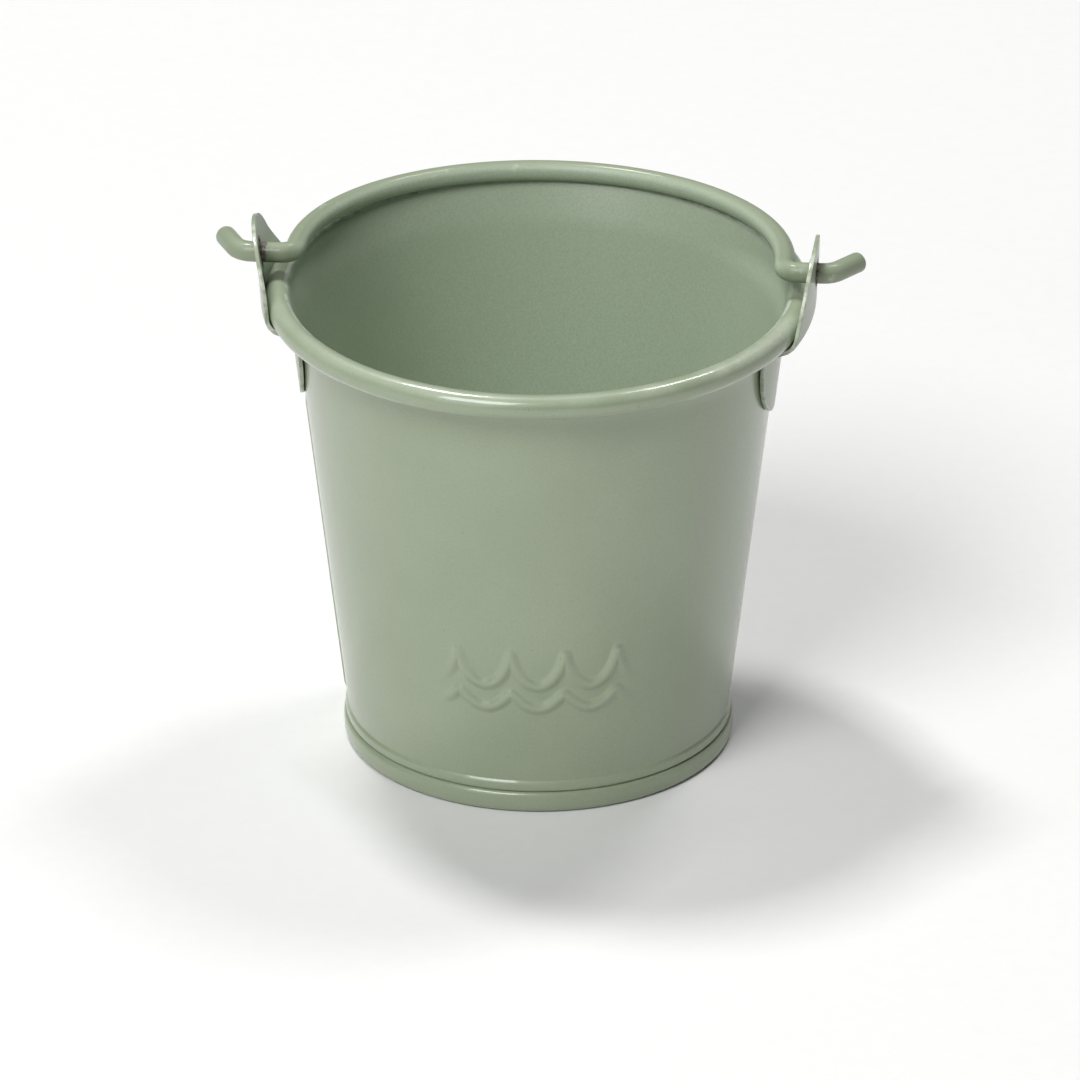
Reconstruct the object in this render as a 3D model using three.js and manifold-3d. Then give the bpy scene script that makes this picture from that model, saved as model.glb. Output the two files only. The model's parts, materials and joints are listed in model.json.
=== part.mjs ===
// A small enamelled sheet-steel sand bucket with a swinging wire bail.
//
// Millimetres, +Z up. The origin is the centre of the base, on the plane the bucket stands on.
// The ears are at +X and -X, and the bail lies back on the rim towards +Y.
// Every outline of a round piece is a list of [radius, height] points.

import * as THREE from "three";
import { mergeVertices } from "three/addons/utils/BufferGeometryUtils.js";
import Module from "manifold-3d";

const wasm = await Module();
wasm.setup();

// ---- Driving dimensions ----------------------------------------------------------------

const sheet = 0.4; // body and bottom sheet
const fitGap = 0.05; // left between two pieces that are pressed or folded together

const rimRadius = 30; // outside of the rolled rim
const rimHeight = 54.44; // top of the rolled rim
const beadRadius = 1.37; // the rolled rim's own radius, over the sheet
const rollStand = 0.22; // how far the roll's inner side stands out from the line of the wall
const curlFlare = 25; // degrees from upright at which the sheet enters the roll
const curlEnd = -150; // where the sheet's edge stops in the roll, degrees from straight out

const footRadius = 21.1; // outside of the wall where it meets the base
const bandHeight = 2.45; // height of the bottom's outer band
const ringHeight = 1.3; // height of the ring pressed in the body just above the band
const ringStand = 0.4; // how far that ring stands out
const floorHeight = 2.6; // inside floor above the ground
const foldRadius = 0.25; // bottom's folds, on the middle of the sheet
const edgeGap = 0.2; // under the body's lower edge, inside the bottom's fold

const seamWidth = 3; // lock seam down the side, under the left ear
const seamStand = 0.28;
const seamToEar = 0.6; // the seam is flattened this far below the ear

const earSheet = 0.45;
const earGap = 0.06; // between an ear and the rolled rim
const earWidth = 19.2;
const earAboveRim = 6.1; // top of an ear over the top of the rim
const earBelowRim = 13.5; // lower tip of an ear under the top of the rim
const earFlatter = 4; // an ear's bend radius over the rim's, where it lies on the wall
const earStraight = 0.4; // share of that bend taken out again above the roll
const earTwistRight = 1.2; // degrees that the upper part of each ear is turned, its +Y side out
const earTwistLeft = 5.2;
const earLeanRight = 1.5; // degrees that the upper part of each ear leans out
const earLeanLeft = 8.5;
const joggleRise = 20; // slope of an ear where it turns out under the rim, degrees
const joggleRadius = 0.9;

const wireRadius = 1.15; // bail wire
const holeClearance = 0.33; // between the bail wire and its hole, all round
const pivotAboveRim = 2.4; // bail's axis over the top of the rim
const bowInset = 1.7; // how far inside the middle of the roll the bow runs at its ends
const bowShort = 1.2; // and at its middle
const innerBend = 1.6; // bend radii on the middle of the wire
const hookBend = 2.2;
const shankOutside = 0.5; // straight wire between an ear and the hook
const hookTurnRight = 55; // degrees that each hook turns back
const hookTurnLeft = 65;
const hookTail = 3.6; // straight end of each hook
const restGap = 0.1; // between the resting bail and the rim

const roundSteps = 60; // facets round the bucket
const rollSteps = 12; // facets round the roll
const foldSteps = 1; // facets in each small fold
const bailSteps = 100; // facets along the bail
const wireSides = 8;

// ---- Places worked out from them -------------------------------------------------------

const degrees = THREE.MathUtils.degToRad;

const bead = { radius: rimRadius - beadRadius, height: rimHeight - beadRadius };
const rimReach = 2 * beadRadius + rollStand;
const pivotHeight = rimHeight + pivotAboveRim;
const wallSlope = (rimRadius - rimReach - footRadius) / (bead.height - bandHeight);
const bandRadius = footRadius + fitGap + sheet;

// Outside radius of the straight wall at a height.
const wallRadius = (height) => footRadius + wallSlope * (height - bandHeight);

// ---- Outlines --------------------------------------------------------------------------

// Points on an arc, angles in degrees from straight out, positive upwards.
function arc(centre, radius, from, to, steps) {
  const points = [];
  for (let i = 0; i <= steps; i++) {
    const angle = degrees(from + ((to - from) * i) / steps);
    points.push([
      centre.radius + radius * Math.cos(angle),
      centre.height + radius * Math.sin(angle),
    ]);
  }
  return points;
}

// A polyline with its corners rounded. Each corner is [radius, height, fillet].
function rounded(corners, steps) {
  const points = [];
  corners.forEach(([x, y, fillet], i) => {
    if (!fillet) {
      points.push([x, y]);
      return;
    }
    const corner = new THREE.Vector2(x, y);
    const back = new THREE.Vector2(...corners[i - 1]).sub(corner).normalize();
    const on = new THREE.Vector2(...corners[i + 1]).sub(corner).normalize();
    const half = Math.acos(back.dot(on)) / 2;
    const centre = back.clone().add(on).normalize();
    centre.multiplyScalar(fillet / Math.sin(half)).add(corner);
    const cut = fillet / Math.tan(half);
    const start = corner.clone().addScaledVector(back, cut).sub(centre);
    const end = corner.clone().addScaledVector(on, cut).sub(centre);
    const turn = Math.atan2(start.cross(end), start.dot(end));
    for (let k = 0; k <= steps; k++) {
      const spoke = start.clone().rotateAround(new THREE.Vector2(), (turn * k) / steps);
      points.push([centre.x + spoke.x, centre.y + spoke.y]);
    }
  });
  return points;
}

// The points moved sideways by a distance, positive to the right of the way they run.
function offset(points, distance) {
  const directions = points.slice(1).map(([x, y], i) => {
    return new THREE.Vector2(x - points[i][0], y - points[i][1]).normalize();
  });
  return points.map(([x, y], i) => {
    const before = directions[Math.max(i - 1, 0)];
    const after = directions[Math.min(i, directions.length - 1)];
    const along = before.clone().add(after).normalize();
    const reach = distance / along.dot(after);
    return [x + along.y * reach, y - along.x * reach];
  });
}

// The closed outline of a sheet that follows a line through its middle.
function sheetOutline(middle, thickness) {
  const outside = offset(middle, thickness / 2);
  const inside = offset(middle, -thickness / 2).reverse();
  return [...outside, ...inside, outside[0]];
}

// ---- Solids ----------------------------------------------------------------------------

// Turns an outline about the Z axis.
function turned(outline) {
  const points = outline.map(([radius, height]) => new THREE.Vector2(radius, height));
  return new THREE.LatheGeometry(points, roundSteps).rotateX(Math.PI / 2);
}

// A section swept along a flat path that lies in the XY plane.
function wire(path, radius, steps) {
  const points = path.getSpacedPoints(steps).map(({ x, y }) => new THREE.Vector3(x, y, 0));
  const section = new THREE.Shape().absarc(0, 0, radius, 0, 2 * Math.PI);
  return new THREE.ExtrudeGeometry(section, {
    steps,
    curveSegments: wireSides / 2, // a full circle is drawn with twice this many sides
    extrudePath: new THREE.CatmullRomCurve3(points),
  });
}

// A prism with its outline in the YZ plane, from the middle of the bucket out past one side.
function prism(shape, side) {
  const alongX = new THREE.Matrix4().makeBasis(
    new THREE.Vector3(0, side, 0),
    new THREE.Vector3(0, 0, 1),
    new THREE.Vector3(side, 0, 0),
  );
  const geometry = new THREE.ExtrudeGeometry(shape, {
    depth: 2 * rimRadius,
    bevelEnabled: false,
    curveSegments: 20,
  });
  return geometry.applyMatrix4(alongX);
}

function toSolid(geometry) {
  const bare = geometry.clone();
  bare.deleteAttribute("normal");
  bare.deleteAttribute("uv");
  const merged = mergeVertices(bare);
  return new wasm.Manifold(
    new wasm.Mesh({
      numProp: 3,
      vertProperties: merged.attributes.position.array,
      triVerts: new Uint32Array(merged.index.array),
    }),
  );
}

function toGeometry(solid) {
  const { vertProperties, triVerts } = solid.getMesh();
  const geometry = new THREE.BufferGeometry();
  geometry.setAttribute("position", new THREE.BufferAttribute(vertProperties, 3));
  geometry.setIndex(new THREE.BufferAttribute(triVerts, 1));
  geometry.computeVertexNormals();
  return geometry;
}

// ---- Pieces ----------------------------------------------------------------------------

// Body: one sheet from its lower edge, held in the bottom's fold, out round the pressed ring,
// up the sloping wall and over into the roll, with the lock seam standing out down one side.
function bodyShell() {
  const legRadius = footRadius - sheet / 2;
  const ring = rounded(
    [
      [legRadius, sheet + edgeGap],
      [legRadius, bandHeight, foldRadius],
      [legRadius + ringStand, bandHeight + ringHeight / 4, foldRadius],
      [legRadius + ringStand, bandHeight + (ringHeight * 3) / 4, foldRadius],
      [wallRadius(bandHeight + ringHeight) - sheet / 2, bandHeight + ringHeight, foldRadius],
      [wallRadius(bandHeight + 2 * ringHeight) - sheet / 2, bandHeight + 2 * ringHeight],
    ],
    foldSteps,
  );
  const roll = arc(bead, beadRadius - sheet / 2, 180 - curlFlare, curlEnd, rollSteps);
  const flareStart = flareHeight(roll[0]);
  const flare = rounded(
    [
      [wallRadius(flareStart - rimReach) - sheet / 2, flareStart - rimReach],
      [wallRadius(flareStart) - sheet / 2, flareStart, rimReach],
      roll[0],
    ],
    2 * foldSteps,
  );
  const middle = [...ring, ...flare.slice(1, -1), ...roll];
  const shell = toSolid(turned(sheetOutline(middle, sheet)));
  return toGeometry(shell.add(lockSeam()));
}

// Height at which the line that enters the roll leaves the line of the wall.
function flareHeight([entryRadius, entryHeight]) {
  const flareSlope = Math.tan(degrees(curlFlare));
  const wallAtEntry = wallRadius(entryHeight) - sheet / 2;
  return entryHeight - (entryRadius - wallAtEntry) / (flareSlope - wallSlope);
}

// The fold down the side, joined to the wall: as thick inwards as the sheet's middle.
function lockSeam() {
  const low = bandHeight + ringHeight + sheet;
  const high = rimHeight - earBelowRim - seamToEar;
  const outline = [
    [wallRadius(low) - sheet / 2, low],
    [wallRadius(low) + seamStand, low + seamStand],
    [wallRadius(high) + seamStand, high - seamStand],
    [wallRadius(high) - sheet / 2, high],
    [wallRadius(low) - sheet / 2, low],
  ];
  const width = new THREE.Shape()
    .moveTo(-seamWidth / 2, 0)
    .lineTo(seamWidth / 2, 0)
    .lineTo(seamWidth / 2, rimHeight)
    .lineTo(-seamWidth / 2, rimHeight);
  return toSolid(turned(outline)).intersect(toSolid(prism(width, -1)));
}

// Bottom: a dished disc whose edge is folded down, out and up round the body's lower edge.
function bottomPan() {
  const innerWall = footRadius - sheet - fitGap - sheet / 2;
  const outerWall = bandRadius - sheet / 2;
  const middle = rounded(
    [
      [0, floorHeight - sheet / 2],
      [innerWall, floorHeight - sheet / 2, foldRadius],
      [innerWall, sheet / 2, foldRadius],
      [outerWall, sheet / 2, foldRadius],
      [outerWall, bandHeight - sheet / 4],
    ],
    foldSteps,
  );
  const top = offset(middle, -sheet / 2);
  const underside = offset(middle, sheet / 2);
  return turned([...underside, ...top.reverse()]);
}

// Wire that stiffens the rim, inside the roll. Its ends meet at the side seam.
function rimWire() {
  const radius = beadRadius - sheet - fitGap;
  const halfJoint = fitGap / bead.radius;
  const end = Math.PI - halfJoint;
  const ring = new THREE.Path().absarc(0, 0, bead.radius, -end, end);
  return wire(ring, radius, roundSteps);
}

// Line through the middle of an ear: up the wall, out under the roll, round it and up.
function earMiddle(lean) {
  const lift = fitGap + earSheet / 2;
  const low = rimHeight - earBelowRim - earSheet;
  const wrap = arc(bead, beadRadius + earGap + earSheet / 2, joggleRise - 90, -lean, 5);
  const [outRadius, outHeight] = wrap[0];
  const rise = Math.tan(degrees(joggleRise));
  const turnHeight =
    (outHeight - rise * (outRadius - wallRadius(0) - lift)) / (1 - rise * wallSlope);
  const tongue = rounded(
    [
      [wallRadius(low) + lift, low],
      [wallRadius(turnHeight) + lift, turnHeight, joggleRadius],
      [outRadius, outHeight],
    ],
    2 * foldSteps,
  );
  const top = rimHeight + earAboveRim + earSheet;
  return [...tongue.slice(0, -1), ...wrap, [earRadius(lean, top), top]];
}

// Middle radius of the upper part of an ear at a height.
function earRadius(lean, height) {
  const angle = degrees(lean);
  const wrapRadius = beadRadius + earGap + earSheet / 2;
  const wrapEnd = bead.radius + wrapRadius * Math.cos(angle);
  return wrapEnd + Math.tan(angle) * (height - bead.height + wrapRadius * Math.sin(angle));
}

// Ear: a round plate pressed over the roll and on to the wall, with the bail's hole. Its bend
// is flatter than the rim's, so it is turned about an axis of its own.
function ear(side, lean, twist) {
  const top = rimHeight + earAboveRim;
  const bottom = rimHeight - earBelowRim;
  const disc = new THREE.Shape().absellipse(
    0,
    (top + bottom) / 2,
    earWidth / 2,
    (top - bottom) / 2,
    0,
    2 * Math.PI,
  );
  const holeRadius = wireRadius + holeClearance;
  disc.holes.push(new THREE.Path().absarc(0, pivotHeight, holeRadius, 0, 2 * Math.PI));
  const section = sheetOutline(earMiddle(lean), earSheet);
  const plate = turned(section.map(([radius, height]) => [radius + earFlatter, height]));
  plate.translate(-side * earFlatter, 0, 0);
  const pressed = toSolid(plate).intersect(toSolid(prism(disc, side)));
  return toGeometry(pressed.warp((point) => easeOut(point, side, twist)));
}

// Moves a point of an ear in or out, more so up the roll, so that the bent plate becomes
// flatter and turns a little about the upright.
function easeOut(point, side, twist) {
  const [, y, height] = point;
  const bendRadius = rimRadius + earFlatter;
  const bend = bendRadius - Math.sqrt(bendRadius ** 2 - y ** 2);
  const share = THREE.MathUtils.smoothstep(height, bead.height - beadRadius, pivotHeight);
  point[0] += side * share * (earStraight * bend + Math.tan(degrees(twist)) * y);
}

// Bail: one wire, bent into a bow between the ears, out through their holes and back into
// a hook on each side. It is drawn flat, with the pivot axis along X, and tilted afterwards.
function bail() {
  const bowRadius = bead.radius - bowInset;
  const shankEnd = bowRadius + innerBend;
  const right = hook(earLeanRight, hookTurnRight);
  const left = hook(earLeanLeft, hookTurnLeft);
  const quarter = Math.PI / 2;
  const path = new THREE.Path()
    .moveTo(...right.tip)
    .lineTo(...right.bendEnd)
    .absarc(right.start, hookBend, hookBend, right.turn - quarter, -quarter, true)
    .lineTo(shankEnd, 0)
    .absarc(shankEnd, innerBend, innerBend, -quarter, -2 * quarter, true)
    .absellipse(0, innerBend, bowRadius, bailDepth() - innerBend, 0, 2 * quarter)
    .absarc(-shankEnd, innerBend, innerBend, 0, -quarter, true)
    .lineTo(-left.start, 0)
    .absarc(-left.start, hookBend, hookBend, -quarter, -quarter - left.turn, true)
    .lineTo(-left.tip[0], left.tip[1]);
  return wire(path, wireRadius, bailSteps);
}

// Where a hook starts, ends its bend and has its tip, drawn on the +X side.
function hook(lean, turnDegrees) {
  const turn = degrees(turnDegrees);
  const start = earRadius(lean, pivotHeight) + earSheet / 2 + shankOutside;
  const bendEnd = [start + hookBend * Math.sin(turn), hookBend * (1 - Math.cos(turn))];
  const tip = [
    bendEnd[0] + hookTail * Math.cos(turn),
    bendEnd[1] + hookTail * Math.sin(turn),
  ];
  return { start, turn, bendEnd, tip };
}

// How far the bow's middle lies from the pivot axis.
function bailDepth() {
  return bead.radius - bowShort;
}

// Angle below level at which the bow's middle rests on the roll, by the law of cosines.
function restTilt() {
  const apart = beadRadius + wireRadius + restGap;
  const drop = pivotHeight - bead.height;
  const reach = Math.hypot(bead.radius, drop);
  const depth = bailDepth();
  const opening = Math.acos((depth ** 2 + reach ** 2 - apart ** 2) / (2 * depth * reach));
  return Math.atan2(drop, bead.radius) - opening;
}

// ---- Assembly --------------------------------------------------------------------------

const enamel = { color: 0x94a68c, roughness: 0.38, metalness: 0.0 };
const bareSteel = { color: 0x8c8f92, roughness: 0.45, metalness: 1.0 };

function piece(name, geometry, finish) {
  const mesh = new THREE.Mesh(geometry, new THREE.MeshStandardMaterial(finish));
  mesh.name = name;
  return mesh;
}

const bucket = new THREE.Group();
bucket.add(
  piece("body_shell", bodyShell(), enamel),
  piece("bottom_pan", bottomPan(), enamel),
  piece("ear_right", ear(1, earLeanRight, earTwistRight), enamel),
  piece("ear_left", ear(-1, earLeanLeft, earTwistLeft), enamel),
);

const rim = new THREE.Group();
rim.position.z = bead.height;
rim.add(piece("rim_wire", rimWire(), bareSteel));
bucket.add(rim);

const handle = new THREE.Group();
handle.position.z = pivotHeight;
handle.rotation.x = -restTilt();
handle.add(piece("bail_handle", bail(), enamel));

const sandBucket = new THREE.Group();
sandBucket.add(bucket, handle);

export default sandBucket;
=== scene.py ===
# A small enamelled sheet-steel sand bucket with a swinging wire bail, finished for its looks.
#
# Metres, +Z up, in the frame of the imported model. The ears are at +X and -X, the bail lies
# back on the rim towards +Y, and the bucket's stamped front faces -Y.

import json
from math import acos, atan2, cos, hypot, pi, radians, sin, tan

import bpy
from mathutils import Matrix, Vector
from mathutils.kdtree import KDTree


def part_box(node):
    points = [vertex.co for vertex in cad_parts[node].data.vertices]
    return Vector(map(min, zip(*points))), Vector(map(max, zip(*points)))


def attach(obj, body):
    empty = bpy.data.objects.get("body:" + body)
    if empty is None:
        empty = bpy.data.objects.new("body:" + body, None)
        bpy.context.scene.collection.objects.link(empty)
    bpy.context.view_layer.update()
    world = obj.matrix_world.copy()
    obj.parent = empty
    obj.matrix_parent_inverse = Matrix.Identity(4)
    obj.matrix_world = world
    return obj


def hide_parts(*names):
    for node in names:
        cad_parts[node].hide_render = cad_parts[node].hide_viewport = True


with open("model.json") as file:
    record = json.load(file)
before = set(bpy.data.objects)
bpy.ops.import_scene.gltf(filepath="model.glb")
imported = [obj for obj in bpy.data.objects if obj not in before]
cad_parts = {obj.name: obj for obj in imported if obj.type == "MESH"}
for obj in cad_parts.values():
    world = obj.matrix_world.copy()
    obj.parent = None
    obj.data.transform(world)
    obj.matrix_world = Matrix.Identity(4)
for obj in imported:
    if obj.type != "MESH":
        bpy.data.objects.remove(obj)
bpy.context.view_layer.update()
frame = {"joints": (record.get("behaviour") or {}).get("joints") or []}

MM = 0.001

# ---- Sizes, worked out from the frame ----------------------------------------------------

body_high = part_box("body_shell")[1]
pan_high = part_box("bottom_pan")[1]
wire_ring_low, wire_ring_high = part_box("rim_wire")
ear_low, ear_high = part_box("ear_right")
swing = frame["joints"][0]

SHEET = 0.4 * MM
FIT_GAP = 0.05 * MM

BEAD_RADIUS = 1.37 * MM
RIM_WIRE_RADIUS = (wire_ring_high.z - wire_ring_low.z) / 2
RIM_RADIUS = wire_ring_high.y - RIM_WIRE_RADIUS + BEAD_RADIUS
RIM_HEIGHT = body_high.z
BEAD_CENTRE = (RIM_RADIUS - BEAD_RADIUS, RIM_HEIGHT - BEAD_RADIUS)
RIM_REACH = 2 * BEAD_RADIUS + 0.22 * MM
CURL_FLARE = radians(16)  # the wall's slope from upright where it enters the roll
CURL_END = radians(-150)  # where the roll's cut edge faces, counted from outwards
FLARE_RADIUS = 4 * RIM_REACH

BAND_RADIUS = pan_high.x
FLOOR_HEIGHT = pan_high.z
BAND_HEIGHT = 2.45 * MM
FOOT_RADIUS = BAND_RADIUS - FIT_GAP - SHEET
RING_HEIGHT = 1.3 * MM
RING_STAND = 0.4 * MM
FOLD_RADIUS = 0.25 * MM
EDGE_GAP = 0.2 * MM
BAND_BULGE = 0.15 * MM  # the band is rounded
LIP_TURN = 0.36 * MM  # the band's upper edge is turned in until it meets the body
LIP_ROUNDING = 0.17 * MM
WALL_SLOPE = (RIM_RADIUS - RIM_REACH - FOOT_RADIUS) / (BEAD_CENTRE[1] - BAND_HEIGHT)

SEAM_HALF_WIDTH = 1.5 * MM
SEAM_STAND = 0.26 * MM

EAR_SHEET = 0.45 * MM
EAR_GAP = 0.06 * MM
EAR_FLATTER = 4 * MM  # an ear's bend radius over the rim's
EAR_STRAIGHT = 0.4  # share of an ear's bend taken out again above the roll
EAR_TWIST = {1: radians(1.2), -1: radians(5.2)}  # right, left; the +Y side is turned out
EAR_LEAN = {1: radians(1.5), -1: radians(8.5)}
EAR_HALF_HEIGHT = (ear_high.z - ear_low.z) / 2
EAR_LOW = ear_low.z
EAR_HIGH = ear_high.z
EAR_HALF_WIDTH = ear_high.y
EAR_ROUNDING = 0.12 * MM
JOGGLE_RISE = radians(20)  # slope of an ear's step under the roll
JOGGLE_RADIUS = 0.9 * MM

PIVOT_HEIGHT = swing["pos_m"][2]
WIRE_RADIUS = 1.14 * MM
HOLE_RADIUS = WIRE_RADIUS + 0.34 * MM
BOW_RADIUS = BEAD_CENTRE[0] - 1.7 * MM
BAIL_DEPTH = BEAD_CENTRE[0] - 1.2 * MM  # from the pivot to the middle of the bow
INNER_BEND = 1.6 * MM
HOOK_BEND = 2.2 * MM
HOOK_TURN = {1: radians(55), -1: radians(65)}
HOOK_TAIL = 3.6 * MM
SHANK_OUTSIDE = 0.5 * MM
REST_GAP = 0.1 * MM

WAVES_FACING = radians(-85)
WAVES_HEIGHT = 17.6 * MM
WAVES_BELOW = 6 * MM  # how far the stamped part of the wall reaches, down and up
WAVES_ABOVE = 3.5 * MM
RIDGE_HALF_WIDTH = 0.85 * MM
RIDGE_LIFT = 0.36 * MM

SMOOTH_ANGLE = radians(40)
SHARP_ANGLE = radians(60)
FULL_TURN = 2 * pi


def wall_radius(height):
    """Outside radius of the straight wall."""
    return FOOT_RADIUS + WALL_SLOPE * (height - BAND_HEIGHT)


# ---- Outlines, as lists of (radius, height) ----------------------------------------------


def arc(centre, radius, start, end, steps):
    """Points along an arc from one angle to another."""
    turn = (end - start) / steps
    return [
        (
            centre[0] + radius * cos(start + turn * i),
            centre[1] + radius * sin(start + turn * i),
        )
        for i in range(steps + 1)
    ]


def fillet(before, corner, after, radius, steps):
    """Points that round a corner of a polyline."""
    corner = Vector(corner)
    back = (Vector(before) - corner).normalized()
    on = (Vector(after) - corner).normalized()
    half = back.angle(on) / 2
    centre = corner + (back + on).normalized() * radius / sin(half)
    start = corner + back * radius / tan(half) - centre
    end = corner + on * radius / tan(half) - centre
    first = atan2(start.y, start.x)
    turn = atan2(start.cross(end), start.dot(end))
    return arc(tuple(centre), radius, first, first + turn, steps)


def rounded(corners, steps):
    """A polyline of (radius, height, fillet radius) with its corners rounded."""
    points = []
    for i, (x, y, radius) in enumerate(corners):
        if radius:
            points += fillet(corners[i - 1][:2], (x, y), corners[i + 1][:2], radius, steps)
        else:
            points.append((x, y))
    return points


def divided(start, end, pieces):
    """Points between start and end, without the ends themselves."""
    return [
        tuple(a + (b - a) * i / pieces for a, b in zip(start, end)) for i in range(1, pieces)
    ]


# ---- Modelling steps ---------------------------------------------------------------------


def deselect():
    bpy.ops.object.select_all(action="DESELECT")


def edit():
    bpy.ops.object.mode_set(mode="EDIT")


def done():
    bpy.ops.object.mode_set(mode="OBJECT")


def name_piece(name):
    piece = bpy.context.object
    piece.name = piece.data.name = name
    return piece


def draw_line(name, points):
    """Starts a piece as a line of edges, drawn by extruding one vertex from point to point."""
    deselect()
    bpy.ops.mesh.primitive_circle_add(vertices=3, radius=MM, location=(0, 0, 0))
    piece = name_piece(name)
    edit()
    bpy.ops.mesh.select_mode(type="VERT")
    bpy.ops.mesh.merge(type="CENTER")
    bpy.ops.transform.translate(value=points[0])
    for before, point in zip(points, points[1:]):
        step = Vector(point) - Vector(before)
        bpy.ops.mesh.extrude_region_move(TRANSFORM_OT_translate={"value": step})
    bpy.ops.mesh.select_all(action="SELECT")
    return piece


def spin(angle, steps, centre=(0, 0, 0)):
    """Sweeps what is selected about an upright axis; a positive angle turns anticlockwise."""
    bpy.ops.mesh.spin(steps=steps, angle=-angle, center=centre, axis=(0, 0, 1))


def close_round():
    """Joins the last column to the first, closes the pole, and points the faces outwards."""
    bpy.ops.mesh.select_all(action="SELECT")
    bpy.ops.mesh.remove_doubles(threshold=0.01 * MM)
    bpy.ops.mesh.normals_make_consistent(inside=False)
    done()


def select_vertices(piece, wanted):
    """Selects, in edit mode, the vertices for which wanted(vertex) is true."""
    edit()
    bpy.ops.mesh.select_mode(type="VERT")
    bpy.ops.mesh.select_all(action="DESELECT")
    done()
    for vertex in piece.data.vertices:
        vertex.select = wanted(vertex)
    edit()


def give_thickness(piece, thickness):
    """Makes a sheet of a surface, half of it on each side."""
    wall = piece.modifiers.new("sheet", "SOLIDIFY")
    wall.thickness = thickness
    wall.offset = 0
    wall.use_even_offset = True
    bpy.ops.object.modifier_apply(modifier=wall.name)


def round_edges(piece, width):
    """Rounds the cut edges of a piece."""
    edges = piece.modifiers.new("edges", "BEVEL")
    edges.width = width
    edges.segments = 3
    edges.limit_method = "ANGLE"
    edges.angle_limit = SHARP_ANGLE
    bpy.ops.object.modifier_apply(modifier=edges.name)


def finish_piece(piece, body, node, material):
    """Shades a piece, paints it, and puts it in place of its node of the model."""
    bpy.context.view_layer.objects.active = piece
    deselect()
    piece.select_set(True)
    bpy.ops.object.shade_smooth_by_angle(angle=SMOOTH_ANGLE)
    piece.data.materials.clear()
    piece.data.materials.append(material)
    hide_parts(node)
    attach(piece, body)


# ---- Body --------------------------------------------------------------------------------


def body_line():
    """Middle of the body's sheet, from its lower edge up and over into the roll."""
    leg = FOOT_RADIUS - SHEET / 2
    ring_top = BAND_HEIGHT + RING_HEIGHT
    ring = rounded(
        [
            (leg, SHEET + EDGE_GAP, 0),
            (leg, BAND_HEIGHT, FOLD_RADIUS),
            (leg + RING_STAND, BAND_HEIGHT + RING_HEIGHT / 4, FOLD_RADIUS),
            (leg + RING_STAND, BAND_HEIGHT + RING_HEIGHT * 3 / 4, FOLD_RADIUS),
            (wall_radius(ring_top) - SHEET / 2, ring_top, FOLD_RADIUS),
            (wall_radius(ring_top + RING_HEIGHT) - SHEET / 2, ring_top + RING_HEIGHT, 0),
        ],
        4,
    )
    roll = arc(BEAD_CENTRE, BEAD_RADIUS - SHEET / 2, pi - CURL_FLARE, CURL_END, 26)
    entry_radius, entry_height = roll[0]
    gap_to_wall = entry_radius - (wall_radius(entry_height) - SHEET / 2)
    flare_start = entry_height - gap_to_wall / (tan(CURL_FLARE) - WALL_SLOPE)
    wall_end = flare_start - RIM_REACH
    flare = fillet(
        (wall_radius(wall_end) - SHEET / 2, wall_end),
        (wall_radius(flare_start) - SHEET / 2, flare_start),
        roll[0],
        FLARE_RADIUS,
        8,
    )

    def on_wall(height):
        return (wall_radius(height) - SHEET / 2, height)

    stamp_low = on_wall(WAVES_HEIGHT - WAVES_BELOW)
    stamp_high = on_wall(WAVES_HEIGHT + WAVES_ABOVE)
    return [
        *ring,
        *divided(ring[-1], stamp_low, 4),
        stamp_low,
        *divided(stamp_low, stamp_high, 44),
        stamp_high,
        *divided(stamp_high, flare[0], 12),
        *flare,
        *roll,
    ]


def wave_row(height, rise, curl):
    """Points (across, up, share of the full lift) along one row of sea waves."""
    waves, pitch, steps = 4, 5.9 * MM, 120
    fade_steps = steps / 3
    row = []
    for i in range(steps * waves + 1):
        turn = FULL_TURN * i / steps
        along = pitch * (turn / FULL_TURN - waves / 2)
        fade = min(1, i / fade_steps, (waves * steps - i) / fade_steps)
        row.append((along + curl * sin(turn), height - rise * cos(turn), fade))
    return row


def stamp_waves(piece):
    """Presses two rows of waves out of the wall, as ridges with rounded shoulders."""
    ridges = wave_row(0.6 * MM, 2 * MM, 0.85 * MM) + wave_row(-3.4 * MM, 0.9 * MM, 0.45 * MM)
    tree = KDTree(len(ridges))
    for i, (across, up, fade) in enumerate(ridges):
        tree.insert((across, up, 0), i)
    tree.balance()
    for vertex in piece.data.vertices:
        x, y, z = vertex.co
        across = (atan2(y, x) - WAVES_FACING) * wall_radius(WAVES_HEIGHT)
        _, i, gap = tree.find((across, z - WAVES_HEIGHT, 0))
        share = max(1 - gap / RIDGE_HALF_WIDTH, 0)
        lift = RIDGE_LIFT * ridges[i][2] * share * share * (3 - 2 * share)
        vertex.co += Vector((x, y, 0)).normalized() * lift


def raise_seam(piece):
    """Lifts the outer face of the wall under the left ear into a flat lock seam."""
    low = BAND_HEIGHT + RING_HEIGHT + SHEET
    high = EAR_LOW - SHEET * 3 / 2

    def on_seam(vertex):
        x, y, z = vertex.co
        outer = hypot(x, y) > wall_radius(z) - SHEET / 2
        return x < 0 and abs(y) < SEAM_HALF_WIDTH and low < z < high and outer

    select_vertices(piece, on_seam)
    bpy.ops.transform.shrink_fatten(value=SEAM_STAND)
    done()


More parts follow.
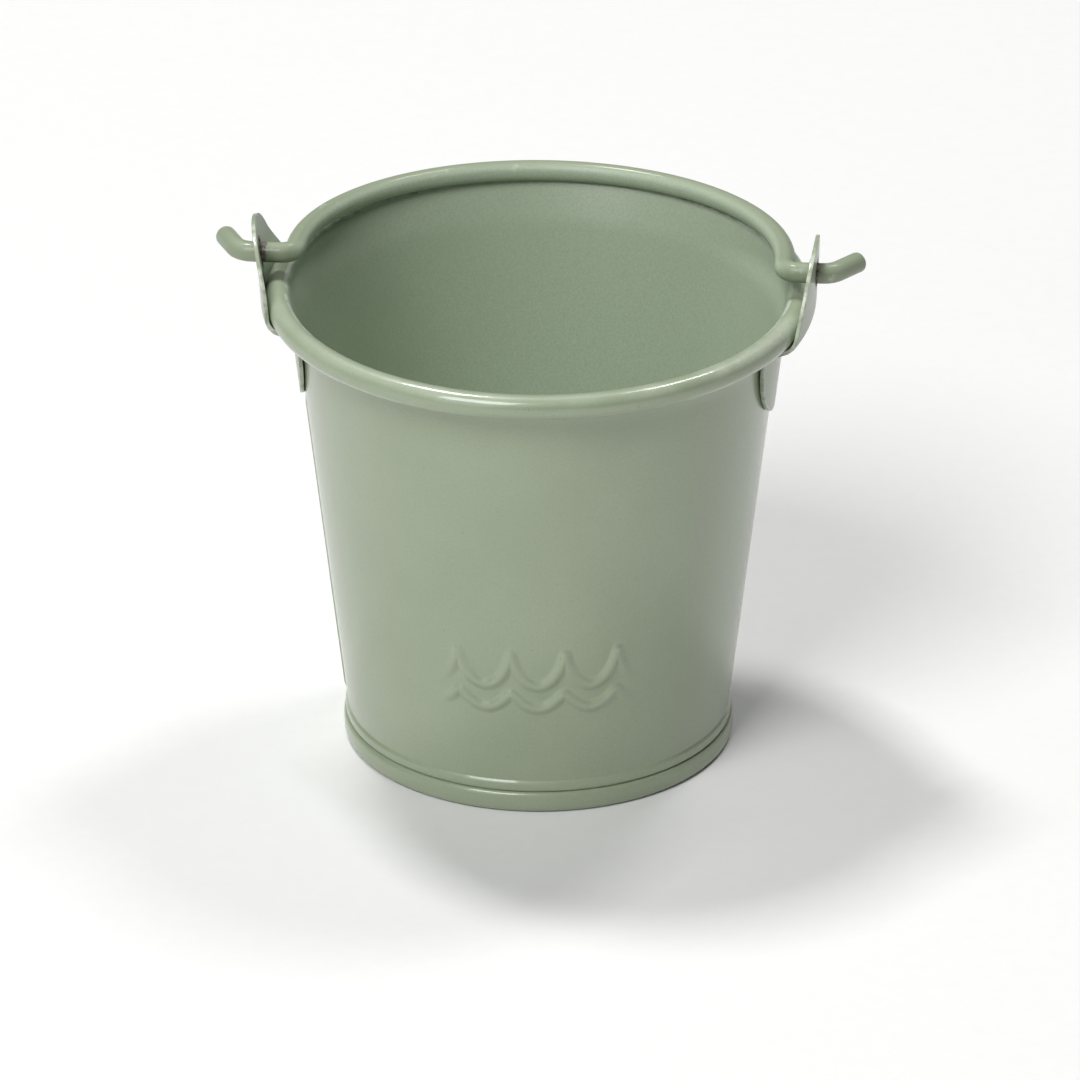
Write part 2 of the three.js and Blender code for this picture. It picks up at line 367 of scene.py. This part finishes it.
def make_body(material):
    """One sheet turned about the axis, most finely where it is stamped and seamed."""
    first = radians(-122)
    front, back, seam, left = (64, 170), (232, 140), (12, 32), (52, 32)  # degrees, steps
    line = [(r * cos(first), r * sin(first), z) for r, z in body_line()]
    piece = draw_line("bucket_body", line)
    for sweep, steps in (front, back, seam, left):
        spin(radians(sweep), steps)
    close_round()
    stamp_waves(piece)
    give_thickness(piece, SHEET)
    raise_seam(piece)
    finish_piece(piece, "bucket", "body_shell", material)


# ---- Bottom ------------------------------------------------------------------------------


def make_bottom(material):
    """A dished disc whose edge is folded down, out and up round the body's lower edge."""
    inner_wall = FOOT_RADIUS - SHEET - FIT_GAP - SHEET / 2
    outer_wall = BAND_RADIUS - SHEET / 2
    middle = FLOOR_HEIGHT - SHEET / 2
    lip = BAND_HEIGHT - SHEET / 2
    line = rounded(
        [
            (0, middle, 0),
            (inner_wall * 0.8, middle, 0),
            (inner_wall, middle, 2 * FOLD_RADIUS),
            (inner_wall, SHEET / 2, FOLD_RADIUS),
            (outer_wall + BAND_BULGE / 2, SHEET / 2, 2 * FOLD_RADIUS),
            (outer_wall + BAND_BULGE, lip / 2, 3 * FOLD_RADIUS),
            (outer_wall + BAND_BULGE, lip, LIP_TURN),
            (outer_wall + BAND_BULGE - LIP_TURN, lip, 0),
        ],
        6,
    )
    piece = draw_line("bucket_bottom", [(r, 0, z) for r, z in line])
    spin(FULL_TURN, 240)
    close_round()
    give_thickness(piece, SHEET)
    round_edges(piece, LIP_ROUNDING)
    finish_piece(piece, "bucket", "bottom_pan", material)


# ---- Wires -------------------------------------------------------------------------------


def start_wire(name, radius, location, heading):
    """Starts a wire as its round section, facing along a heading in the XY plane."""
    deselect()
    bpy.ops.mesh.primitive_circle_add(
        vertices=28, radius=radius, location=location, rotation=(pi / 2, 0, heading + pi / 2)
    )
    piece = name_piece(name)
    bpy.ops.object.transform_apply(location=True, rotation=True, scale=True)
    edit()
    return piece


def run_wire(x, y):
    """Makes the wire longer by a straight run."""
    bpy.ops.mesh.extrude_region_move(TRANSFORM_OT_translate={"value": (x, y, 0)})


def cap_ends(rounding):
    """Closes the wire's two cut ends and rounds their edges."""
    bpy.ops.mesh.select_mode(type="EDGE")
    bpy.ops.mesh.select_all(action="DESELECT")
    bpy.ops.mesh.select_non_manifold()
    bpy.ops.mesh.fill_holes(sides=0)
    bpy.ops.mesh.select_all(action="SELECT")
    bpy.ops.mesh.normals_make_consistent(inside=False)
    done()
    piece = bpy.context.object
    round_edges(piece, rounding)


def make_rim_wire(material):
    """The ring that stiffens the roll; its ends meet at the side seam."""
    joint = FIT_GAP / BEAD_CENTRE[0]
    start = -pi + joint
    place = (BEAD_CENTRE[0] * cos(start), BEAD_CENTRE[0] * sin(start), BEAD_CENTRE[1])
    piece = start_wire("rim_stiffener", RIM_WIRE_RADIUS, place, start + pi / 2)
    spin(FULL_TURN - 2 * joint, 180)
    cap_ends(0.08 * MM)
    finish_piece(piece, "bucket", "rim_wire", material)


def ear_radius(side, height):
    """Middle radius of the upper part of an ear."""
    lean = EAR_LEAN[side]
    wrap = BEAD_RADIUS + EAR_GAP + EAR_SHEET / 2
    above = height - BEAD_CENTRE[1] + wrap * sin(lean)
    return BEAD_CENTRE[0] + wrap * cos(lean) + tan(lean) * above


def hook(side):
    """Where a hook starts, ends its bend and has its tip, drawn on the +X side."""
    turn = HOOK_TURN[side]
    start = ear_radius(side, PIVOT_HEIGHT) + EAR_SHEET / 2 + SHANK_OUTSIDE
    bend_end = Vector((start + HOOK_BEND * sin(turn), HOOK_BEND * (1 - cos(turn))))
    tail = Vector((cos(turn), sin(turn))) * HOOK_TAIL
    return start, turn, bend_end, tail


def rest_tilt():
    """Angle below level at which the bow's middle rests on the roll, by the law of cosines."""
    apart = BEAD_RADIUS + WIRE_RADIUS + REST_GAP
    drop = PIVOT_HEIGHT - BEAD_CENTRE[1]
    reach = hypot(BEAD_CENTRE[0], drop)
    opening = acos((BAIL_DEPTH**2 + reach**2 - apart**2) / (2 * BAIL_DEPTH * reach))
    return atan2(drop, BEAD_CENTRE[0]) - opening


def make_bail(material):
    """One wire, drawn flat from the right hook round the bow to the left hook, then tilted."""
    right_start, right_turn, right_end, right_tail = hook(1)
    left_start, left_turn, _, left_tail = hook(-1)
    shank_end = BOW_RADIUS + INNER_BEND
    tip = right_end + right_tail
    piece = start_wire("carry_bail", WIRE_RADIUS, (tip.x, tip.y, 0), right_turn + pi)
    run_wire(-right_tail.x, -right_tail.y)
    spin(-right_turn, 14, (right_start, HOOK_BEND, 0))
    run_wire(shank_end - right_start, 0)
    spin(-pi / 2, 14, (shank_end, INNER_BEND, 0))
    spin(pi, 140, (0, INNER_BEND, 0))
    spin(-pi / 2, 14, (-shank_end, INNER_BEND, 0))
    run_wire(shank_end - left_start, 0)
    spin(-left_turn, 14, (-left_start, HOOK_BEND, 0))
    run_wire(-left_tail.x, left_tail.y)
    done()

    def on_bow(vertex):
        return vertex.co.y > INNER_BEND and abs(vertex.co.x) < shank_end

    select_vertices(piece, on_bow)
    shorter = (BAIL_DEPTH - INNER_BEND) / BOW_RADIUS
    bpy.ops.transform.resize(value=(1, shorter, 1), center_override=(0, INNER_BEND, 0))
    cap_ends(0.35 * MM)
    piece.location.z = PIVOT_HEIGHT
    piece.rotation_euler.x = -rest_tilt()
    bpy.ops.object.transform_apply(location=True, rotation=True, scale=True)
    finish_piece(piece, "bail", "bail_handle", material)


# ---- Ears --------------------------------------------------------------------------------


def ear_line(side):
    """Middle of an ear's sheet: up the wall, out under the roll, round it and up."""
    lean = EAR_LEAN[side]
    lift = FIT_GAP + EAR_SHEET / 2
    low = EAR_LOW - EAR_SHEET
    wrap = arc(
        BEAD_CENTRE, BEAD_RADIUS + EAR_GAP + EAR_SHEET / 2, JOGGLE_RISE - pi / 2, -lean, 14
    )
    rise = tan(JOGGLE_RISE)
    out_radius, out_height = wrap[0]
    level_part = rise * (out_radius - wall_radius(0) - lift)
    turn_height = (out_height - level_part) / (1 - rise * WALL_SLOPE)
    joggle = fillet(
        (wall_radius(low) + lift, low),
        (wall_radius(turn_height) + lift, turn_height),
        wrap[0],
        JOGGLE_RADIUS,
        8,
    )
    top = EAR_HIGH + EAR_SHEET
    return [(wall_radius(low) + lift, low), *joggle, *wrap, (ear_radius(side, top), top)]


def make_form(side):
    """The curved form that an ear is pressed on, turned about an axis of its own."""
    half_sweep = radians(24)
    line = [
        ((r + EAR_FLATTER) * cos(half_sweep), -(r + EAR_FLATTER) * sin(half_sweep), z)
        for r, z in ear_line(side)
    ]
    form = draw_line("ear_form", line)
    spin(2 * half_sweep, 96)
    bpy.ops.mesh.select_all(action="SELECT")
    bpy.ops.transform.translate(value=(-EAR_FLATTER, 0, 0))
    done()
    return form


def ease_out(piece, side):
    """Makes the bent plate flatter up the roll, and turns it a little about the upright."""
    bend_radius = RIM_RADIUS + EAR_FLATTER
    low = BEAD_CENTRE[1] - BEAD_RADIUS
    for vertex in piece.data.vertices:
        x, y, z = vertex.co
        bend = bend_radius - (bend_radius**2 - y**2) ** 0.5
        rise = min(max((z - low) / (PIVOT_HEIGHT - low), 0), 1)
        share = rise * rise * (3 - 2 * rise)
        vertex.co.x = x + share * (EAR_STRAIGHT * bend + tan(EAR_TWIST[side]) * y)


def make_ear(name, side, node, material):
    """A round plate with the bail's hole, pressed on its form, on the +X or the -X side."""
    form = make_form(side)
    deselect()
    beyond = 2 * RIM_RADIUS
    facing_x = (pi / 2, 0, pi / 2)
    bpy.ops.mesh.primitive_circle_add(
        vertices=144,
        radius=EAR_HALF_WIDTH,
        location=(beyond, 0, (EAR_LOW + EAR_HIGH) / 2),
        rotation=facing_x,
    )
    piece = name_piece(name)
    piece.scale.y = EAR_HALF_HEIGHT / EAR_HALF_WIDTH
    bpy.ops.object.transform_apply(location=True, rotation=True, scale=True)
    edit()
    bpy.ops.mesh.primitive_circle_add(
        vertices=144,
        radius=HOLE_RADIUS,
        location=(beyond, 0, PIVOT_HEIGHT),
        rotation=facing_x,
    )
    bpy.ops.mesh.select_all(action="SELECT")
    bpy.ops.mesh.bridge_edge_loops(number_cuts=44, interpolation="LINEAR")
    done()
    press = piece.modifiers.new("press", "SHRINKWRAP")
    press.target = form
    press.wrap_method = "PROJECT"
    press.use_project_x = True
    press.use_negative_direction = True
    press.use_positive_direction = False
    bpy.ops.object.modifier_apply(modifier=press.name)
    bpy.data.objects.remove(form)
    ease_out(piece, side)
    piece.scale.x = side
    bpy.ops.object.transform_apply(location=False, rotation=False, scale=True)
    edit()
    bpy.ops.mesh.select_all(action="SELECT")
    bpy.ops.mesh.normals_make_consistent(inside=False)
    done()
    give_thickness(piece, EAR_SHEET)
    round_edges(piece, EAR_ROUNDING)
    finish_piece(piece, "bucket", node, material)


# ---- Materials ---------------------------------------------------------------------------

SAGE = (0.322, 0.383, 0.262, 1)
SAGE_DEEP = (0.296, 0.355, 0.240, 1)
SAGE_DARK = (0.250, 0.295, 0.200, 1)
# Painted light: paler sage for faces turned to the axis, for the light inside the bucket.
SAGE_INSIDE_PAINTED_LIGHT = (0.425, 0.505, 0.380, 1)
SAGE_WORN = (0.48, 0.56, 0.44, 1)
# Pale primer for paint wear, also used for the painted highlight on the rim.
PRIMER_AND_PAINTED_HIGHLIGHT = (0.62, 0.66, 0.58, 1)
RUST = (0.11, 0.075, 0.04, 1)
STEEL = (0.30, 0.30, 0.29, 1)
STEEL_DARK = (0.25, 0.25, 0.26, 1)
PAPER = (0.78, 0.78, 0.775, 1)
PAPER_PALE = (0.81, 0.81, 0.805, 1)


def new_finish(name):
    """A new material, its node tree, its shader and the place on the piece."""
    material = bpy.data.materials.new(name)
    material.use_nodes = True
    tree = material.node_tree
    shader = tree.nodes["Principled BSDF"]
    place = tree.nodes.new("ShaderNodeTexCoord").outputs["Object"]
    return material, tree, shader, place


def add_node(tree, kind, sockets, **settings):
    """Adds a node; each socket is given a number, a colour or another node's output."""
    node = tree.nodes.new(kind)
    for key, value in settings.items():
        setattr(node, key, value)
    for socket, value in sockets.items():
        if isinstance(value, bpy.types.NodeSocket):
            tree.links.new(value, node.inputs[socket])
        else:
            node.inputs[socket].default_value = value
    return node


def calculate(tree, operation, *values):
    """The result of one sum, by the name of a Math node's operation."""
    sockets = dict(enumerate(values))
    return add_node(tree, "ShaderNodeMath", sockets, operation=operation).outputs[0]


def times(tree, first, *others):
    """The product of values."""
    product = first
    for value in others:
        product = calculate(tree, "MULTIPLY", product, value)
    return product


def hypotenuse(tree, across, up):
    """How far a point is from the zero of two coordinates."""
    square = calculate(tree, "MULTIPLY_ADD", across, across, times(tree, up, up))
    return calculate(tree, "SQRT", square)


def noise(tree, place, size, detail=2.0, roughness=0.5):
    """A soft cloud pattern of spots of about that size, from 0 to 1."""
    sockets = {"Vector": place, "Scale": 1 / size, "Detail": detail, "Roughness": roughness}
    return add_node(tree, "ShaderNodeTexNoise", sockets).outputs["Fac"]


def ease(tree, value, start, end):
    """0 up to start, 1 from end, and smooth between; start may be the larger."""
    sockets = {"Value": value, "From Min": start, "From Max": end}
    node = add_node(tree, "ShaderNodeMapRange", sockets, interpolation_type="SMOOTHSTEP")
    return node.outputs["Result"]


def mix(tree, share, first, second):
    """Colour between first and second."""
    sockets = {0: share, 6: first, 7: second}
    return add_node(tree, "ShaderNodeMix", sockets, data_type="RGBA").outputs[2]


def split(tree, place):
    """X, Y and Z of a place."""
    return add_node(tree, "ShaderNodeSeparateXYZ", {"Vector": place}).outputs


def bump(tree, height, depth, strength, under=None):
    """A relief of that depth, on top of the relief under it."""
    sockets = {"Height": height, "Distance": depth, "Strength": strength}
    if under:
        sockets["Normal"] = under
    return add_node(tree, "ShaderNodeBump", sockets).outputs["Normal"]


def inside(tree, place):
    """1 where the surface faces the bucket's axis; the colour is painted paler there, as
    painted light for the light and reflections inside the bucket.
    """
    normal = add_node(tree, "ShaderNodeTexCoord", {}).outputs["Normal"]
    x, y, z = split(tree, place)
    outwards = add_node(tree, "ShaderNodeCombineXYZ", {"X": x, "Y": y}).outputs[0]
    unit = add_node(tree, "ShaderNodeVectorMath", {0: outwards}, operation="NORMALIZE")
    facing = add_node(
        tree, "ShaderNodeVectorMath", {0: unit.outputs[0], 1: normal}, operation="DOT_PRODUCT"
    )
    return ease(tree, facing.outputs["Value"], -0.3, -0.9)


def paint_colour(tree, place, grain, cloud, facing_in, painted_shade_and_dullness):
    """Mottled sage, with dark speckle, pale dust and brown pin-holes; darker pieces get
    painted shade and faces turned to the axis get painted light.
    """
    colour = mix(tree, ease(tree, cloud, 0.3, 0.7), SAGE_DEEP, SAGE)
    # Painted shade: the darker pieces are mixed towards dark sage.
    colour = mix(tree, painted_shade_and_dullness, colour, SAGE_DARK)
    # Painted light: faces turned to the axis are painted paler.
    colour = mix(tree, facing_in, colour, SAGE_INSIDE_PAINTED_LIGHT)
    speckle = ease(tree, noise(tree, place, 0.22 * MM, 2, 0.7), 0.35, 0.65)
    colour = mix(tree, times(tree, speckle, 0.3), colour, SAGE_DARK)
    dust = ease(tree, grain, 0.62, 0.8)
    colour = mix(tree, times(tree, dust, 0.35), colour, SAGE_WORN)
    pits = ease(tree, noise(tree, place, 0.33 * MM, 1), 0.27, 0.2)
    return mix(tree, times(tree, pits, 0.25), colour, RUST)


def paint_relief(tree, place, grain, waviness, chips):
    """The sheet's soft dents, the paint's orange peel and grain, and the chips in it."""
    dents = bump(tree, noise(tree, place, 16 * MM, 1), waviness, 1)
    peel = bump(tree, noise(tree, place, 1.1 * MM, 2), 0.02 * MM, 0.8, dents)
    fine = bump(tree, grain, 0.008 * MM, 0.8, peel)
    return bump(tree, chips, -0.05 * MM, 1, fine)


def enamel(name, pale_wear_and_highlight, bare, waviness, painted_shade_and_dullness):
    """Sage stoving enamel, pale where the first mask is 1 (paint wear, and on the rim also a
    painted highlight) and chipped to the steel where bare is 1; both are functions of (tree,
    place). The last number, from 0 to 1, darkens it as painted shade and makes it duller."""
    material, tree, shader, place = new_finish(name)
    cloud = noise(tree, place, 14 * MM, 3)
    grain = noise(tree, place, 0.5 * MM, 4, 0.65)
    facing_in = inside(tree, place)
    chips = bare(tree, place)
    rusty = ease(tree, noise(tree, place, 0.4 * MM, 3), 0.42, 0.58)
    colour = paint_colour(tree, place, grain, cloud, facing_in, painted_shade_and_dullness)
    # The pale mix is paint wear, and on the rim also a painted highlight.
    colour = mix(tree, pale_wear_and_highlight(tree, place), colour, PRIMER_AND_PAINTED_HIGHLIGHT)
    colour = mix(tree, chips, colour, mix(tree, rusty, STEEL, RUST))
    cloudy = calculate(tree, "MULTIPLY_ADD", cloud, 0.1, 0.3 + 0.2 * painted_shade_and_dullness)
    rough = calculate(tree, "MULTIPLY_ADD", grain, 0.12, cloudy)
    rough = calculate(tree, "MULTIPLY_ADD", chips, 0.25, rough)
    metal = times(tree, chips, calculate(tree, "SUBTRACT", 1, rusty))
    coat_rough = calculate(tree, "MULTIPLY_ADD", facing_in, 0.3, 0.09)
    relief = paint_relief(tree, place, grain, waviness, chips)
    tree.links.new(colour, shader.inputs["Base Color"])
    tree.links.new(rough, shader.inputs["Roughness"])
    tree.links.new(metal, shader.inputs["Metallic"])
    tree.links.new(coat_rough, shader.inputs["Coat Roughness"])
    tree.links.new(relief, shader.inputs["Normal"])
    shader.inputs["Coat Weight"].default_value = 0.7 - 0.5 * painted_shade_and_dullness
    return material


def nowhere(tree, place):
    """0 all over."""
    return times(tree, noise(tree, place, 10 * MM), 0)


def near_angle(tree, place, angle, spread):
    """1 along the line round the roll that faces that angle, fading to 0 each side."""
    x, y, z = split(tree, place)
    out = calculate(tree, "SUBTRACT", hypotenuse(tree, x, y), BEAD_CENTRE[0])
    up = calculate(tree, "SUBTRACT", z, BEAD_CENTRE[1])
    facing = calculate(tree, "ARCTAN2", up, out)
    off = calculate(tree, "ABSOLUTE", calculate(tree, "SUBTRACT", facing, angle))
    return ease(tree, off, spread, spread / 3)


def rim_scuffs_and_painted_highlight(tree, place):
    """Pale scuffs and a painted highlight on top of the roll, more of them on the right."""
    # Painted highlight as well as scuffs: the top of the roll is painted paler, more on the
    # right.
    top = near_angle(tree, place, radians(75), radians(75))
    right = ease(tree, split(tree, place)[0], 4 * MM, 25 * MM)
    share = calculate(tree, "MULTIPLY_ADD", right, 0.22, 0.1)
    speckled = ease(tree, noise(tree, place, 0.4 * MM, 3, 0.6), 0.4, 0.62)
    speckled = calculate(tree, "MULTIPLY_ADD", speckled, 0.4, 0.8)
    clouded = ease(tree, noise(tree, place, 5 * MM, 3), 0.35, 0.6)
    return times(tree, top, share, clouded, speckled)


def rim_wear_and_painted_highlight(tree, place):
    """The paint is thin along the inner edge of the rim, and scuffed on top of it; both pale
    marks are also a painted highlight.
    """
    # Painted highlight as well as thin paint: a pale line along the roll's inner edge.
    line = near_angle(tree, place, radians(128), radians(16))
    broken = ease(tree, noise(tree, place, 1.6 * MM, 4), 0.36, 0.56)
    edge = times(tree, line, broken, 0.8)
    return calculate(tree, "MAXIMUM", edge, rim_scuffs_and_painted_highlight(tree, place))


def hole_chips(tree, place):
    """Chips round the bail's hole, where the wire rubs."""
    y, z = split(tree, place)[1:3]
    from_axis = hypotenuse(tree, y, calculate(tree, "SUBTRACT", z, PIVOT_HEIGHT))
    ragged = times(tree, noise(tree, place, 0.7 * MM, 3), 0.8 * MM)
    reach = calculate(tree, "SUBTRACT", from_axis, ragged)
    return ease(tree, reach, HOLE_RADIUS + 0.02 * MM, HOLE_RADIUS - 0.12 * MM)


def ear_wear(tree, place):
    """The paint is thin on the ear's outline."""
    y, z = split(tree, place)[1:3]
    middle = EAR_LOW + EAR_HALF_HEIGHT
    across = calculate(tree, "DIVIDE", y, EAR_HALF_WIDTH)
    up = calculate(tree, "DIVIDE", calculate(tree, "SUBTRACT", z, middle), EAR_HALF_HEIGHT)
    square = calculate(tree, "MULTIPLY_ADD", across, across, times(tree, up, up))
    edge = ease(tree, square, 0.93, 0.985)
    broken = ease(tree, noise(tree, place, 1.2 * MM, 4), 0.4, 0.6)
    return times(tree, edge, broken, 0.5)


def bail_rub(tree, place):
    """A dark rubbed ring on the wire where it turns in the ears' holes."""
    x = calculate(tree, "ABSOLUTE", split(tree, place)[0])
    hole_place = ear_radius(1, PIVOT_HEIGHT)
    off = calculate(tree, "ABSOLUTE", calculate(tree, "SUBTRACT", x, hole_place))
    ragged = times(tree, noise(tree, place, 0.6 * MM, 4), 0.9 * MM)
    reach = calculate(tree, "ADD", off, ragged)
    return ease(tree, reach, 0.95 * MM, 0.75 * MM)


def bail_wear(tree, place):
    """The paint is thin in small patches along the wire."""
    patches = ease(tree, noise(tree, place, 2.2 * MM, 5, 0.6), 0.62, 0.72)
    return times(tree, patches, 0.35)


def bare_steel():
    """Drawn wire: dull grey with faint streaks round it."""
    material, tree, shader, place = new_finish("bare_steel_wire")
    streaks = noise(tree, place, 0.8 * MM, 4)
    colour = mix(tree, streaks, STEEL, STEEL_DARK)
    tree.links.new(colour, shader.inputs["Base Color"])
    rough = calculate(tree, "MULTIPLY_ADD", streaks, 0.2, 0.35)
    tree.links.new(rough, shader.inputs["Roughness"])
    tree.links.new(bump(tree, streaks, 0.01 * MM, 1), shader.inputs["Normal"])
    shader.inputs["Metallic"].default_value = 1
    return material


def pale_floor():
    """Matt paper."""
    material, tree, shader, place = new_finish("pale_floor")
    paper = noise(tree, place, 2 * MM, 3)
    colour = mix(tree, paper, PAPER, PAPER_PALE)
    tree.links.new(colour, shader.inputs["Base Color"])
    tree.links.new(bump(tree, paper, 0.02 * MM, 0.5), shader.inputs["Normal"])
    shader.inputs["Roughness"].default_value = 0.8
    return material


# ---- Stage -------------------------------------------------------------------------------


def make_floor():
    deselect()
    bpy.ops.mesh.primitive_plane_add(size=12, location=(0, 0, 0))
    floor = name_piece("floor")
    floor.data.materials.append(pale_floor())


def aim(thing, target):
    """Turns a camera or a light to face a place."""
    direction = Vector(target) - thing.location
    thing.rotation_euler = direction.to_track_quat("-Z", "Y").to_euler()


def around(azimuth, elevation, distance, height=0.0):
    """A place seen from the bucket at an azimuth from +X and an elevation, in degrees."""
    a, e = radians(azimuth), radians(elevation)
    level = distance * cos(e)
    return (level * cos(a), level * sin(a), height + distance * sin(e))


def make_camera():
    """A long lens, a little to the right of the front and above it."""
    azimuth, elevation = -84.8, 26.358
    place = around(azimuth, elevation, 1.4014, 25 * MM)
    target = around(azimuth + 90, 0, 0.155 * MM, 22.85 * MM)
    bpy.ops.object.camera_add(location=place)
    camera = bpy.context.object
    camera.data.sensor_width = 36
    camera.data.lens = 421.7
    camera.data.clip_start = 0.01
    aim(camera, target)
    bpy.context.scene.camera = camera


def soft_light(name, place, size, power):
    """A soft box aimed at the bucket's middle."""
    bpy.ops.object.light_add(type="AREA", location=place)
    light = bpy.context.object
    light.name = name
    light.data.shape = "RECTANGLE"
    light.data.size, light.data.size_y = size
    light.data.energy = power
    aim(light, (0, 0, 30 * MM))


def make_lights():
    """A big front light, weak fill all round, and two small lights behind for the glints."""
    big = (0.6, 0.6)
    soft_light("front", around(-115, 50, 1.4), big, 12)
    soft_light("front_low", around(-115, 18, 1.4), big, 1.8)
    soft_light("left", around(180, 50, 1.4), big, 0.6)
    soft_light("right", around(10, 50, 1.4), big, 0.2)
    soft_light("above_left", around(132, 68, 1.3), (0.18, 0.28), 9)
    soft_light("above_right", around(56, 61, 1.3), (0.2, 0.3), 4)


def make_backdrop():
    """Weak even light from all sides, shown as it is, without a film curve."""
    world = bpy.data.worlds.new("studio")
    world.use_nodes = True
    backdrop = world.node_tree.nodes["Background"]
    backdrop.inputs["Color"].default_value = (1, 1, 1, 1)
    backdrop.inputs["Strength"].default_value = 0.06
    bpy.context.scene.world = world
    bpy.context.scene.view_settings.view_transform = "Standard"


# ---- Assembly ----------------------------------------------------------------------------

# The body's pale mask is paint wear and a painted highlight on the rim.
make_body(enamel("body_enamel_sage", rim_wear_and_painted_highlight, nowhere, 0.15 * MM, 0))
make_bottom(enamel("bottom_enamel_sage", nowhere, nowhere, 0.1 * MM, 0))
make_rim_wire(bare_steel())
# The last number paints the ears darker, as painted shade, and makes them duller.
ear_enamel = enamel("ear_enamel_sage", ear_wear, hole_chips, 0.05 * MM, 0.5)
make_ear("ear_plate_right", 1, "ear_right", ear_enamel)
make_ear("ear_plate_left", -1, "ear_left", ear_enamel)
# The last number paints the bail darker, as painted shade, and makes it duller.
make_bail(enamel("bail_enamel_sage", bail_wear, bail_rub, 0.1 * MM, 0.9))
make_floor()
make_camera()
make_lights()
make_backdrop()
